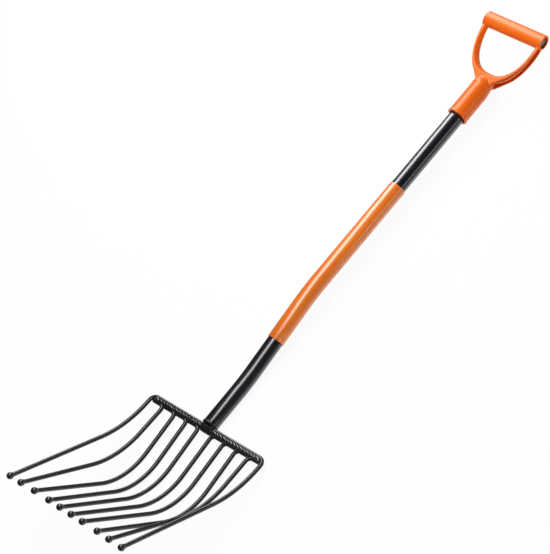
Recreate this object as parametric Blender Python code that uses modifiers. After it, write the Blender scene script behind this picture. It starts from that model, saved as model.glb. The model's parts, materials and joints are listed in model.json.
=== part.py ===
# Potato fork: ten ball-tipped steel rods welded to a bar, a jogged steel tube and a moulded D handle.
# Metres, +Z up. X runs across the fork, Y from the tine tips to the handle. The fork lies on its back.
import bmesh
import bpy
from math import acos, cos, pi, radians, sin, sqrt, tan
from mathutils import Matrix, Vector

# Clearances
touch_gap = 0.0003              # between pieces that touch

# Rods of the head
rod_diameter = 0.0074
rod_sides = 12
tine_pitch = 0.0286             # between neighbouring tines at the crossbar
middle_pitch = 0.0316           # between the two middle tines, which the shaft stands between
foot_bend_radius = 0.0090       # where a tine turns into its foot, on the centreline
outer_corner_radius = 0.0115    # corners of the outer rod
outer_half_width = 0.1322       # of the bar, to the outer rod's centreline
bar_tilt = radians(17.0)        # plane of the two bar rods, rising towards the handle

# Side view of the tines: slope falling from the bar, straight run, bend, straight run to the ball
inner_slope = radians(5.7)
inner_run = 0.0816
inner_bend_radius = 0.1052
inner_bend = radians(57.3)
inner_tip_run = 0.1489
second_slope = radians(-2.2)
second_run = 0.0594
second_bend_radius = 0.1509
second_bend = radians(41.9)
second_tip_run = 0.1520
outer_slope = radians(-1.4)
outer_run = 0.0122
outer_bend_radius = 0.1880
outer_bend = radians(33.7)
outer_tip_run = 0.1947

# Half widths of the fork at the ball tips, from the middle pair outwards
tip_half_widths = [0.0135, 0.0402, 0.0754, 0.1055, 0.1336]

# Ball tips
ball_diameter = 0.0122
ball_sides = 14
collar_diameter = 0.0094
collar_length = 0.0026
collar_wall_at_mouth = 0.0006

# Shaft tube
tube_diameter = 0.028
tube_wall = 0.0015
tube_sides = 24
tube_lower_run = 0.0947         # from the bar to the first corner
tube_jog_run = 0.1856           # between the two corners
tube_upper_run = 0.4600         # from the second corner to the crank of the handle
tube_jog_slope = radians(6.45)
tube_upper_slope = radians(-0.44)
tube_bend_radius = 0.200
tube_depth_in_socket = 0.0480

# Plastic sleeve on the tube
sleeve_wall = 0.0009
sleeve_start = 0.0843           # from the first corner, along the tube
sleeve_length = 0.3366

# Tongue that joins the tube to the bar
tongue_width = 0.0215
tongue_plug_length = 0.0200
tongue_cover = 0.0021           # steel over the back rod
tongue_front_length = 0.0036    # past the centreline of the feet
tongue_front_height = 0.0052    # of the tongue's front edge over the feet's centreline
tongue_bevel = 0.0010

# Welds
weld_radius = 0.0027
weld_height = 0.0029            # of the bead's centre over the plane of the bar rods
weld_ripple = 0.0024
weld_past_corner = 0.0035       # of the bar's beads past the start of the outer rod's corners
weld_ripple_share = 0.14
collar_weld_radius = 0.0029
collar_weld_start = 0.0031      # height at which the tube's weld begins on either side

# Handle
crank_angle = radians(13.85)    # of the line from the crank to the grip, against the tube
crank_to_grip = 0.1215
arm_tilt = radians(2.5)         # of the D's plane against that line
socket_length = 0.0603
socket_diameter = 0.0366
socket_rim_diameter = 0.0382
socket_rim_length = 0.0034
socket_mouth_clearance = 0.0014
socket_mouth_depth = 0.0080
arm_inset = 0.0019              # of the arms' outside from the grip's ends
arm_thickness = 0.0096          # of each arm at the grip
arm_drop = 0.1010               # from the grip's centreline to the lowest point of the arms' outside
arm_exponent = 2.1
arm_foot_thickness = 0.0162     # from the hand opening's lowest point to the arms'
opening_exponent = 2.45
arm_depth = 0.0110              # thickness of the D at the grip, square to its plane
arm_foot_depth = 0.0232         # at the lowest point of the arms' outside
arm_setback = 0.0010            # of the arms behind the grip's plane
web_start_angle = radians(59.9) # round the arms' outside, where it turns straight down to the neck
web_knee_half_width = 0.0175
web_knee_below = 0.0017         # the arms' lowest point, as the next two are
web_corner_half_width = 0.0120
web_corner_below = 0.0065
web_end_half_width = 0.0040
web_end_below = 0.0110
arm_inner_round = 0.0044
arm_flange = 0.0027
channel_depth = 0.0050
channel_reach = 0.0120          # of the channels past the arc of the arms' outside, through the web
channel_start = 0.0130          # half width at which the channels begin, beside the neck
channel_rib = 0.0018
rib_inset = 0.0010              # of the rib's crest below the arms' outside
rib_root = 0.0006
rib_share = 0.30                # where the rib ends, as a share of the groove's lower end
rib_fade_power = 4              # how late the rib sinks into the channel's floor
neck_bend_radius = 0.0450       # of the socket's centreline over the crank
neck_end_below = 0.0067         # the hand opening, inside the arms' foot
neck_end_width = 0.0352
neck_end_depth = 0.0180
neck_steps = 7
grip_width = 0.0278             # in the plane of the D
grip_thickness = 0.0188         # square to it
grip_length = 0.1310
bore_width = 0.0206
bore_thickness = 0.0156
grip_edge_round = 0.0009
core_recess = 0.0030
handle_sides = 28
arm_steps = 28                  # of the arms' outside
opening_steps = 23

rod_radius = rod_diameter / 2
arm_half_width = grip_length / 2 - arm_inset
opening_half_width = arm_half_width - arm_thickness
opening_drop = arm_drop - arm_foot_thickness
tube_radius = tube_diameter / 2
ball_radius = ball_diameter / 2
tine_names = ["tine_5", "tine_4", "tine_3", "tine_2"]
mirror_names = ["tine_6", "tine_7", "tine_8", "tine_9"]


def clear_scene():
    for old in list(bpy.data.objects):
        bpy.data.objects.remove(old, do_unlink=True)


def new_collection(name):
    collection = bpy.data.collections.new(name)
    bpy.context.scene.collection.children.link(collection)
    return collection


def make_material(name, colour, roughness, metallic):
    material = bpy.data.materials.new(name)
    material.use_nodes = True
    shader = material.node_tree.nodes["Principled BSDF"]
    shader.inputs["Base Color"].default_value = (*colour, 1.0)
    shader.inputs["Roughness"].default_value = roughness
    shader.inputs["Metallic"].default_value = metallic
    return material


def add_part(name, mesh, material, smooth_angle=40.0):
    mesh.materials.clear()
    mesh.materials.append(material)
    mesh.shade_smooth()
    mesh.set_sharp_from_angle(angle=radians(smooth_angle))
    part = bpy.data.objects.new(name, mesh)
    parts.objects.link(part)
    part.parent = fork
    return part


def add_cutter(name, mesh):
    cutter = bpy.data.objects.new(name, mesh)
    cutters.objects.link(cutter)
    cutter.hide_render = True
    cutter.display_type = "WIRE"
    cutter.parent = fork
    return cutter


def boolean(part, cutter, operation):
    modifier = part.modifiers.new(cutter.name, "BOOLEAN")
    modifier.operation = operation
    modifier.object = cutter
    return modifier


def rounded_path(corners, radii, steps):
    # Straight runs between corners, each inner corner turned over its own radius
    points = [corners[0].copy()]
    for i in range(1, len(corners) - 1):
        into = (corners[i] - corners[i - 1]).normalized()
        out = (corners[i + 1] - corners[i]).normalized()
        turn = acos(max(-1.0, min(1.0, into.dot(out))))
        if turn < 1e-5:
            continue
        reach = radii[i - 1] * tan(turn / 2)
        start = corners[i] - into * reach
        side = (out - into * into.dot(out)).normalized()
        centre = start + side * radii[i - 1]
        for k in range(steps[i - 1] + 1):
            angle = turn * k / steps[i - 1]
            points.append(centre - side * radii[i - 1] * cos(angle) + into * radii[i - 1] * sin(angle))
    points.append(corners[-1].copy())
    return points


def sweep_mesh(name, points, radius, sides, capped=True, radii=None):
    # A curve with a round bevel, turned into a mesh with welded caps
    curve = bpy.data.curves.new(name, "CURVE")
    curve.dimensions = "3D"
    curve.bevel_depth = radius
    curve.bevel_resolution = (sides - 4) // 2
    curve.use_fill_caps = capped
    curve.twist_mode = "MINIMUM"
    spline = curve.splines.new("POLY")
    spline.points.add(len(points) - 1)
    for i, point in enumerate(points):
        spline.points[i].co = (*point, 1.0)
        spline.points[i].radius = radii[i] if radii else 1.0
    holder = bpy.data.objects.new(name, curve)
    bpy.context.scene.collection.objects.link(holder)
    graph = bpy.context.evaluated_depsgraph_get()
    mesh = bpy.data.meshes.new_from_object(holder.evaluated_get(graph))
    bpy.data.objects.remove(holder, do_unlink=True)
    bpy.data.curves.remove(curve)
    work = bmesh.new()
    work.from_mesh(mesh)
    bmesh.ops.remove_doubles(work, verts=work.verts, dist=1e-6)
    bmesh.ops.recalc_face_normals(work, faces=work.faces)
    work.to_mesh(mesh)
    work.free()
    mesh.name = name
    return mesh


def cylinder_mesh(name, start, end, radius, sides):
    # Its corners stand half a step off, between those of the turned shapes that it cuts
    work = bmesh.new()
    axis = end - start
    turn = Vector((0, 0, 1)).rotation_difference(axis).to_matrix().to_4x4()
    half_step = Matrix.Rotation(pi / sides, 4, "Z")
    place = Matrix.Translation((start + end) / 2) @ turn @ half_step
    bmesh.ops.create_cone(work, cap_ends=True, segments=sides, radius1=radius, radius2=radius,
                          depth=axis.length, matrix=place)
    mesh = bpy.data.meshes.new(name)
    work.to_mesh(mesh)
    work.free()
    return mesh


def outline_mesh(name, outline, thickness, place):
    # A flat outline filled and given a thickness about its own plane
    curve = bpy.data.curves.new(name, "CURVE")
    curve.dimensions = "2D"
    curve.fill_mode = "BOTH"
    curve.extrude = thickness / 2
    spline = curve.splines.new("POLY")
    spline.points.add(len(outline) - 1)
    for i, (u, v) in enumerate(outline):
        spline.points[i].co = (u, v, 0.0, 1.0)
    spline.use_cyclic_u = True
    holder = bpy.data.objects.new(name, curve)
    bpy.context.scene.collection.objects.link(holder)
    graph = bpy.context.evaluated_depsgraph_get()
    mesh = bpy.data.meshes.new_from_object(holder.evaluated_get(graph))
    bpy.data.objects.remove(holder, do_unlink=True)
    bpy.data.curves.remove(curve)
    work = bmesh.new()
    work.from_mesh(mesh)
    bmesh.ops.remove_doubles(work, verts=work.verts, dist=1e-6)
    bmesh.ops.transform(work, matrix=place, verts=work.verts)
    bmesh.ops.recalc_face_normals(work, faces=work.faces)
    work.to_mesh(mesh)
    work.free()
    return mesh


def turned_mesh(name, profile, sides, place):
    # A profile of (radius, height) points, top to bottom on its outer side, turned about its axis
    mesh = bpy.data.meshes.new(name)
    points = [(radius, 0.0, height) for radius, height in profile]
    edges = [(i, i + 1) for i in range(len(points) - 1)]
    mesh.from_pydata(points, edges, [])
    holder = bpy.data.objects.new(name, mesh)
    bpy.context.scene.collection.objects.link(holder)
    screw = holder.modifiers.new("turn", "SCREW")
    screw.axis = "Z"
    screw.steps = sides
    screw.render_steps = sides
    screw.use_merge_vertices = True
    screw.merge_threshold = 0.00002
    graph = bpy.context.evaluated_depsgraph_get()
    turned = bpy.data.meshes.new_from_object(holder.evaluated_get(graph))
    bpy.data.objects.remove(holder, do_unlink=True)
    turned.transform(place)
    turned.name = name
    return turned


def tangent(radius, bend):
    return radius * tan(bend / 2)


def floor_drop():
    # How far the inner tines fall below the feet's centreline before they turn up
    run_drop = inner_run * sin(inner_slope)
    return run_drop + inner_bend_radius * (1 - cos(inner_slope))


def bar_points():
    # Side-view places of the back rod and of the tines' feet; the tube ends at y = 0
    spacing = rod_diameter + touch_gap
    feet_z = rod_radius + floor_drop()
    back_z = feet_z + spacing * sin(bar_tilt)
    back_y = -rod_radius - touch_gap
    feet_y = back_y - spacing * cos(bar_tilt)
    return Vector((0, back_y, back_z)), Vector((0, feet_y, feet_z))


def side_corners(start, slope, run, radius, bend, tip_run):
    # Side view of one tine as (distance along the rod, y, z) at its start, apex and tip
    reach = tangent(radius, bend)
    first = run + reach
    second = reach + tip_run
    apex_y = start.y - first * cos(slope)
    apex_z = start.z - first * sin(slope)
    rise = bend - slope
    tip_y = apex_y - second * cos(rise)
    tip_z = apex_z + second * sin(rise)
    return [(0.0, start.y, start.z), (first, apex_y, apex_z), (first + second, tip_y, tip_z)]


def spread(side, root_x, tip_x, corners):
    # The side view drawn from its root half width to its tip half width
    whole = corners[-1][0]
    return [Vector((side * (root_x + (tip_x - root_x) * along / whole), y, z)) for along, y, z in corners]


def root_half_width(index):
    return middle_pitch / 2 + tine_pitch * index


def shorten_to_ball(corners):
    # The rod ends at its seat in the ball; the ball's centre is where the rod would have ended
    direction = (corners[-2] - corners[-1]).normalized()
    centre = corners[-1].copy()
    corners[-1] = centre + direction * (ball_seat() + touch_gap)
    return centre, direction


def ball_seat():
    return sqrt(ball_radius ** 2 - rod_radius ** 2) - 2 * touch_gap


def ball_mesh(name, centre, direction):
    bore = rod_radius + touch_gap
    seat = ball_seat()
    collar = collar_diameter / 2
    start = acos(collar / ball_radius)
    shoulder = ball_radius * sin(start)
    profile = [(0.0, seat), (bore, seat), (bore, shoulder + collar_length)]
    profile.append((bore + collar_wall_at_mouth, shoulder + collar_length))
    profile.append((collar, shoulder + collar_length / 2))
    steps = 8
    for k in range(steps):
        angle = start - (start + pi / 2) * k / steps
        profile.append((ball_radius * cos(angle), ball_radius * sin(angle)))
    profile.append((0.0, -ball_radius))
    turn = Vector((0, 0, 1)).rotation_difference(direction).to_matrix().to_4x4()
    return turned_mesh(name, profile, ball_sides, Matrix.Translation(centre) @ turn)


def foot_length(index):
    # A foot runs out to the bend of the next tine, the last one to the outer rod's corner
    if index == len(tine_names) - 1:
        return outer_half_width - root_half_width(index) - rod_radius
    swell = 2 * sqrt(foot_bend_radius * rod_radius) - foot_bend_radius
    return tine_pitch - swell - touch_gap


def tine_mesh(name, index, side):
    start = bar_points()[1]
    if index < 3:
        shape = (inner_slope, inner_run, inner_bend_radius, inner_bend, inner_tip_run)
    else:
        shape = (second_slope, second_run, second_bend_radius, second_bend, second_tip_run)
    root_x = root_half_width(index)
    corners = spread(side, root_x, tip_half_widths[index], side_corners(start, *shape))
    centre, direction = shorten_to_ball(corners)
    foot = Vector((side * (root_x + foot_length(index)), start.y, start.z))
    points = rounded_path([foot] + corners, [foot_bend_radius, shape[2]], [5, 9])
    return sweep_mesh(name, points, rod_radius, rod_sides), centre, direction


def outer_rod_mesh(name, radius):
    back = bar_points()[0]
    shape = (outer_slope, outer_run, outer_bend_radius, outer_bend, outer_tip_run)
    side_view = side_corners(back, *shape)
    root_x = outer_half_width
    halves = []
    tips = []
    for side in (-1, 1):
        corners = spread(side, root_x, tip_half_widths[-1], side_view)
        tips.append(shorten_to_ball(corners))
        halves.append(corners)
    corners = halves[0][::-1] + halves[1]
    radii = [outer_bend_radius, outer_corner_radius, outer_corner_radius, outer_bend_radius]
    points = rounded_path(corners, radii, [9, 6, 6, 9])
    return sweep_mesh(name, points, radius, rod_sides), tips


def tube_corners():
    start = Vector((0, 0, tube_radius))
    first = start + Vector((0, tube_lower_run, 0))
    second = first + Vector((0, cos(tube_jog_slope), sin(tube_jog_slope))) * tube_jog_run
    last = second + Vector((0, cos(tube_upper_slope), sin(tube_upper_slope))) * tube_upper_run
    return start, first, second, last


def tube_direction():
    return Vector((0, cos(tube_upper_slope), sin(tube_upper_slope)))


def socket_rim():
    return tube_corners()[3] - tube_direction() * socket_length


def shell_mesh(name, points, outer_radius, wall, sides):
    # An open swept surface given a wall on its inside
    mesh = sweep_mesh(name, points, outer_radius, sides, capped=False)
    holder = bpy.data.objects.new(name, mesh)
    bpy.context.scene.collection.objects.link(holder)
    solid = holder.modifiers.new("wall", "SOLIDIFY")
    solid.thickness = wall
    solid.offset = -1.0
    solid.use_even_offset = True
    graph = bpy.context.evaluated_depsgraph_get()
    shell = bpy.data.meshes.new_from_object(holder.evaluated_get(graph))
    bpy.data.objects.remove(holder, do_unlink=True)
    return shell


def make_tube():
    start, first, second, last = tube_corners()
    end = socket_rim() + tube_direction() * (tube_depth_in_socket - touch_gap)
    points = rounded_path([start, first, second, end], [tube_bend_radius] * 2, [4, 4])
    mesh = shell_mesh("shaft_tube", points, tube_radius, tube_wall, tube_sides)
    return add_part("shaft_tube", mesh, black_gloss)


def make_sleeve():
    start, first, second, last = tube_corners()
    low = first + (second - first).normalized() * sleeve_start
    left_over = sleeve_length - (tube_jog_run - sleeve_start)
    high = second + tube_direction() * left_over
    outer = tube_radius + touch_gap + sleeve_wall
    points = rounded_path([low, second, high], [tube_bend_radius], [4])
    mesh = shell_mesh("shaft_sleeve", points, outer, sleeve_wall, tube_sides)
    return add_part("shaft_sleeve", mesh, orange_plastic)


def make_rods():
    mesh, tips = outer_rod_mesh("outer_rod", rod_radius)
    add_part("outer_rod", mesh, black_rod)
    cope = add_cutter("outer_rod_cutter", outer_rod_mesh("outer_rod_cutter", rod_radius + touch_gap)[0])
    balls = {1: tips[0], 10: tips[1]}
    for index, (left, right) in enumerate(zip(tine_names, mirror_names)):
        for side, name in ((-1, left), (1, right)):
            mesh, centre, direction = tine_mesh(name, index, side)
            part = add_part(name, mesh, black_rod)
            if index == len(tine_names) - 1:
                boolean(part, cope, "DIFFERENCE")
            balls[int(name.split("_")[1])] = (centre, direction)
    for number in sorted(balls):
        name = "tip_ball_%d" % number
        add_part(name, ball_mesh(name, *balls[number]), black_ball, 60.0)
    return cope


def make_tongue():
    # Side outline of the tongue: a plug in the tube, a saddle over the back rod and a front lip
    back, feet = bar_points()
    bore = tube_radius - tube_wall - touch_gap
    half = tongue_width / 2
    plug_half = sqrt(bore ** 2 - half ** 2) - touch_gap
    saddle = rod_radius + touch_gap
    top = back.z + saddle + tongue_cover
    front = feet.y - tongue_front_length
    low = tube_radius - plug_half
    outline = [(tongue_plug_length, low), (tongue_plug_length, tube_radius + plug_half)]
    outline.append((0.0, tube_radius + plug_half))
    outline.append((-touch_gap - tongue_cover / 2, top))
    outline.append((back.y - saddle / 2, top))
    outline.append((front + tongue_cover, feet.z + tongue_front_height))
    outline.append((front, feet.z + tongue_front_height - tongue_cover))
    outline.append((front, low))
    outline.append((back.y - saddle, low))
    steps = 8
    for k in range(steps + 1):
        angle = pi - pi * k / steps
        outline.append((back.y + saddle * cos(angle), back.z + saddle * sin(angle)))
    outline.append((back.y + saddle, low))
    # The outline's first direction is Y and its second is Z, and its thickness runs along X
    place = Matrix(((0, 0, 1, 0), (1, 0, 0, 0), (0, 1, 0, 0), (0, 0, 0, 1)))
    mesh = outline_mesh("shaft_tongue", outline, tongue_width, place)
    part = add_part("shaft_tongue", mesh, weld_black)
    bevel = part.modifiers.new("edges", "BEVEL")
    bevel.width = tongue_bevel
    bevel.segments = 1
    bevel.limit_method = "ANGLE"
    bevel.angle_limit = radians(70.0)
    return part


def bar_rod_cutter(name, point):
    reach = tip_half_widths[-1]
    start = Vector((-reach, point.y, point.z))
    end = Vector((reach, point.y, point.z))
    return add_cutter(name, cylinder_mesh(name, start, end, rod_radius + touch_gap, rod_sides * 2))


def make_bead(name, side, back_cutter, feet_cutter):
    # A rippled weld bead in the valley between the back rod and the feet
    back, feet = bar_points()
    normal = Vector((0, -sin(bar_tilt), cos(bar_tilt)))
    middle = (back + feet) / 2 + normal * weld_height
    near = tongue_width / 2 + touch_gap + weld_ripple / 2
    far = outer_half_width - outer_corner_radius + weld_past_corner
    count = max(2, 2 * int((far - near) / weld_ripple / 2))
    points = []
    radii = []
    for k in range(count + 1):
        x = near + (far - near) * k / count
        points.append(Vector((side * x, middle.y, middle.z)))
        radii.append(1.0 - weld_ripple_share * (k % 2))
    mesh = sweep_mesh(name, points, weld_radius, 8, radii=radii)
    part = add_part(name, mesh, weld_black, 60.0)
    boolean(part, back_cutter, "DIFFERENCE")
    boolean(part, feet_cutter, "DIFFERENCE")
    return part


def make_welds(cope):
    back, feet = bar_points()
    back_cutter = bar_rod_cutter("back_rod_cutter", back)
    feet_cutter = bar_rod_cutter("feet_cutter", feet)
    make_bead("weld_bead_left", -1, cope, feet_cutter)
    make_bead("weld_bead_right", 1, cope, feet_cutter)
    steps = 8
    profile = []
    for k in range(steps + 1):
        angle = pi / 2 - pi * k / steps
        profile.append((tube_radius + collar_weld_radius * cos(angle), collar_weld_radius * sin(angle)))
    bore = tube_radius + touch_gap
    profile = [point for point in profile if point[0] > bore]
    top = sqrt(collar_weld_radius ** 2 - touch_gap ** 2)
    profile = [(bore, top)] + profile + [(bore, -top), (bore, top)]
    turn = Matrix.Rotation(-pi / 2, 4, "X")
    place = Matrix.Translation((0, collar_weld_radius / 3, tube_radius)) @ turn
    part = add_part("shaft_weld", turned_mesh("shaft_weld", profile, tube_sides, place), weld_black, 60.0)
    boolean(part, back_cutter, "DIFFERENCE")
    # The weld leaves the tube's underside free, on which the fork lies
    work = bmesh.new()
    size = tube_diameter + 2 * collar_diameter
    shape = Matrix.Diagonal((size, size, size, 1.0))
    place = Matrix.Translation((0, 0, collar_weld_start - size / 2)) @ shape
    bmesh.ops.create_cube(work, size=1.0, matrix=place)
    mesh = bpy.data.meshes.new("weld_underside")
    work.to_mesh(mesh)
    work.free()
    boolean(part, add_cutter("weld_underside", mesh), "DIFFERENCE")
    return part


def slope_direction(slope):
    return Vector((0, cos(slope), sin(slope)))


def grip_centre():
    return tube_corners()[3] + slope_direction(tube_upper_slope + crank_angle) * crank_to_grip


def handle_place():
    # Handle frame with its origin at the grip's middle: X across, Y up the D, Z square to the D's plane
    slope = tube_upper_slope + crank_angle + arm_tilt
    return Matrix.Translation(grip_centre()) @ Matrix.Rotation(slope, 4, "X")


def arm_place():
    return handle_place() @ Matrix.Translation((0, 0, -arm_setback))


def arc_point(half_width, drop, exponent, angle):
    # A point of a rounded outline that hangs from the grip's centreline; angle zero is its right end
    across = abs(cos(angle)) ** (2 / exponent) * (1 if cos(angle) > 0 else -1)
    return half_width * across, -drop * abs(sin(angle)) ** (2 / exponent)


def arm_arc(half_width, drop, exponent, steps):
    return [arc_point(half_width, drop, exponent, pi * k / steps) for k in range(steps + 1)]


def on_opening(point):
    # Whether a point of the D's flat faces lies on the edge of the hand opening
    across = abs(point.x) / opening_half_width
    down = -point.y / opening_drop
    return down > 0 and across ** opening_exponent + down ** opening_exponent < 1.02


def web_curve(steps):
    # The outline's concave foot, from its knee down into the neck, on the right side
    points = []
    for k in range(steps + 1):
        t = k / steps
        shares = ((1 - t) ** 2, 2 * t * (1 - t), t ** 2)
        across = (web_knee_half_width, web_corner_half_width, web_end_half_width)
        below = (web_knee_below, web_corner_below, web_end_below)
        x = sum(share * value for share, value in zip(shares, across))
        y = -arm_drop - sum(share * value for share, value in zip(shares, below))
        points.append((x, y))
    return points


def outer_outline():
    # The D's outside from its right end to its left: an arc, a straight web and the foot, mirrored
    steps = arm_steps // 2
    right = []
    for k in range(steps + 1):
        right.append(arc_point(arm_half_width, arm_drop, arm_exponent, web_start_angle * k / steps))
    right += web_curve(6)
    return right + [(-x, y) for x, y in reversed(right)]


def deepen(mesh, at_grip, at_foot):
    # Lets a flat shape's depth grow evenly down the D, from the grip's centreline to the arms' lowest point
    for vertex in mesh.vertices:
        down = -vertex.co.y / arm_drop
        vertex.co.z *= 1 + (at_foot / at_grip - 1) * down


def arm_mesh():
    # The D's two arms as one U that deepens to its foot, rounded towards the hand opening on both faces
    inner = arm_arc(opening_half_width, opening_drop, opening_exponent, opening_steps)
    mesh = outline_mesh("arms", outer_outline() + inner[::-1], arm_depth, Matrix.Identity(4))
    work = bmesh.new()
    work.from_mesh(mesh)
    for side in (-1, 1):
        flat = [face for face in work.faces if face.normal.z * side > 0.9]
        bmesh.ops.dissolve_faces(work, faces=flat, use_verts=False)
    edges = []
    for edge in work.edges:
        normals = [abs(face.normal.z) for face in edge.link_faces]
        middle = (edge.verts[0].co + edge.verts[1].co) / 2
        if min(normals) < 0.5 < max(normals) and on_opening(middle):
            edges.append(edge)
    bmesh.ops.bevel(work, geom=edges, offset=arm_inner_round, segments=3, profile=0.5, affect="EDGES",
                    clamp_overlap=True)
    work.to_mesh(mesh)
    work.free()
    deepen(mesh, arm_depth, arm_foot_depth)
    mesh.transform(arm_place())
    return mesh


def arm_point(side, angle, inset):
    # A point on the outside of one arm, moved in by an inset
    across, up = arc_point(arm_half_width - inset, arm_drop - inset, arm_exponent, angle)
    return side * across, up


def arm_band(name, side, first, last, outer_insets, inner_inset, depths):
    # A band along the outside of one arm between two angles, with its depths at the grip and the foot
    steps = len(outer_insets) - 1
    angles = [first + (last - first) * k / steps for k in range(steps + 1)]
    outline = [arm_point(side, angle, inset) for angle, inset in zip(angles, outer_insets)]
    outline += [arm_point(side, angle, inner_inset) for angle in reversed(angles)]
    mesh = outline_mesh(name, outline, depths[0], Matrix.Identity(4))
    deepen(mesh, *depths)
    mesh.transform(arm_place())
    return add_cutter(name, mesh)


def cut_channels(part):
    # A groove open to the outside of each arm, with a middle rib that sinks into it towards the grip
    start = acos((channel_start / arm_half_width) ** (arm_exponent / 2))
    finish = (grip_width / 8 / arm_drop) ** (arm_exponent / 2)
    steps = 16
    groove_depths = (arm_depth - 2 * arm_flange, arm_foot_depth - 2 * arm_flange)
    for side, label in ((-1, "left"), (1, "right")):
        groove = arm_band("groove_" + label, side, start, finish, [-channel_reach] * (steps + 1),
                          channel_depth, groove_depths)
        boolean(part, groove, "DIFFERENCE")
    fade = [rib_inset + (channel_depth + rib_root - rib_inset) * (k / steps) ** rib_fade_power
            for k in range(steps + 1)]
    for side, label in ((-1, "left"), (1, "right")):
        rib = arm_band("rib_" + label, side, start + radians(6.0), start * rib_share, fade,
                       channel_depth + 2 * rib_root, (channel_rib, channel_rib))
        boolean(part, rib, "UNION")


def oval_ring(centre, along, half_width, half_depth):
    # Points round an oval square to a direction that has no part across the fork
    across = Vector((1, 0, 0))
    depth = across.cross(along).normalized()
    angles = [2 * pi * k / handle_sides for k in range(handle_sides)]
    return [centre + across * half_width * cos(angle) + depth * half_depth * sin(angle) for angle in angles]


def loft_mesh(name, rings):
    # A closed skin over rings of unlike section
    work = bmesh.new()
    loops = [[work.verts.new(point) for point in ring] for ring in rings]
    for low, high in zip(loops, loops[1:]):
        for i in range(len(low)):
            work.faces.new((low[i - 1], low[i], high[i], high[i - 1]))
    work.faces.new(loops[0])
    work.faces.new(loops[-1])
    bmesh.ops.recalc_face_normals(work, faces=work.faces)
    mesh = bpy.data.meshes.new(name)
    work.to_mesh(mesh)
    work.free()
    return mesh


def socket_mesh():
    # The socket with its rolled rim, turned over the crank and drawn out flat into the arms' foot
    outer = socket_diameter / 2
    rim = socket_rim_diameter / 2
    soft = rim - outer
    axis = tube_direction()
    runs = [(0.0, outer), (soft, rim)]
    runs += [(socket_rim_length - soft, rim), (socket_rim_length + soft, outer)]
    rings = [oval_ring(socket_rim() + axis * along, axis, radius, radius) for along, radius in runs]
    crank = tube_corners()[3]
    out = slope_direction(tube_upper_slope + crank_angle)
    reach = tangent(neck_bend_radius, crank_angle)
    corners = [crank - axis * 2 * reach, crank, crank + out * 2 * reach]
    bend = rounded_path(corners, [neck_bend_radius], [3])[1:-1]
    for k, point in enumerate(bend):
        along = slope_direction(tube_upper_slope + crank_angle * k / (len(bend) - 1))
        rings.append(oval_ring(point, along, outer, outer))
    end = arm_place() @ Vector((0, -opening_drop - neck_end_below, 0))
    up_arms = arm_place().to_3x3() @ Vector((0, 1, 0))
    for k in range(1, neck_steps + 1):
        share = k / neck_steps
        eased = share ** 2 * (3 - 2 * share)
        half_width = outer + (neck_end_width / 2 - outer) * eased
        half_depth = outer + (neck_end_depth / 2 - outer) * eased
        rings.append(oval_ring(bend[-1].lerp(end, share), out.lerp(up_arms, share), half_width, half_depth))
    return loft_mesh("socket", rings)


def oval_bar(name, length, width, thickness, soft, step_share):
    # A bar of oval section along the grip, its ends softened, its corners turned by a share of a step
    outer = width / 2
    half = length / 2
    profile = [(0.0, half), (outer - soft, half), (outer, half - soft), (outer, soft - half)]
    profile += [(outer - soft, -half), (0.0, -half)]
    flatten = Matrix.Diagonal((1.0, 1.0, thickness / width, 1.0))
    along_x = Matrix.Rotation(pi / 2, 4, "Y")
    half_step = Matrix.Rotation(2 * pi / handle_sides * step_share, 4, "Z")
    place = handle_place() @ flatten @ along_x @ half_step
    return turned_mesh(name, profile, handle_sides, place)


def make_handle():
    part = add_part("d_handle", arm_mesh(), orange_plastic, 35.0)
    cut_channels(part)
    grip = oval_bar("grip_body", grip_length, grip_width, grip_thickness, grip_edge_round, 0.0)
    boolean(part, add_cutter("grip_body", grip), "UNION")
    boolean(part, add_cutter("socket_body", socket_mesh()), "UNION")
    past_ends = grip_length + 2 * grip_width
    bore = oval_bar("grip_bore", past_ends, bore_width, bore_thickness, grip_edge_round, 0.5)
    boolean(part, add_cutter("grip_bore", bore), "DIFFERENCE")
    rim = socket_rim()
    axis = tube_direction()
    before = rim - axis * socket_rim_length
    bottom = rim + axis * tube_depth_in_socket
    bore_radius = tube_radius + touch_gap
    hole = cylinder_mesh("tube_bore", before, bottom, bore_radius, tube_sides)
    boolean(part, add_cutter("tube_bore", hole), "DIFFERENCE")
    mouth_radius = tube_radius + socket_mouth_clearance
    mouth = cylinder_mesh("socket_mouth", before, rim + axis * socket_mouth_depth, mouth_radius, tube_sides)
    boolean(part, add_cutter("socket_mouth", mouth), "DIFFERENCE")
    return part


def make_core():
    length = grip_length - 2 * core_recess
    gap = 2 * touch_gap
    mesh = oval_bar("grip_core", length, bore_width - gap, bore_thickness - gap, grip_edge_round, 0.5)
    return add_part("grip_core", mesh, grey_core)


def stand_on_origin():
    # The middle of the fork's box goes over the origin and its lowest point on the floor
    bpy.context.view_layer.update()
    graph = bpy.context.evaluated_depsgraph_get()
    points = []
    for part in parts.objects:
        if part.type != "MESH":
            continue
        shown = part.evaluated_get(graph)
        points += [shown.matrix_world @ vertex.co for vertex in shown.data.vertices]
    low = Vector([min(point[i] for point in points) for i in range(3)])
    high = Vector([max(point[i] for point in points) for i in range(3)])
    fork.location = (-(low.x + high.x) / 2, -(low.y + high.y) / 2, -low.z)


clear_scene()
parts = new_collection("potato_fork")
cutters = new_collection("cutters")
fork = bpy.data.objects.new("fork", None)
parts.objects.link(fork)

black_gloss = make_material("black_gloss", (0.012, 0.012, 0.014), 0.22, 0.0)
black_rod = make_material("black_rod", (0.035, 0.035, 0.040), 0.38, 0.0)
black_ball = make_material("black_ball", (0.030, 0.030, 0.034), 0.30, 0.0)
weld_black = make_material("weld_black", (0.022, 0.022, 0.026), 0.55, 0.0)
orange_plastic = make_material("orange_plastic", (0.86, 0.19, 0.02), 0.30, 0.0)
grey_core = make_material("grey_core", (0.20, 0.20, 0.23), 0.45, 0.0)

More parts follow.
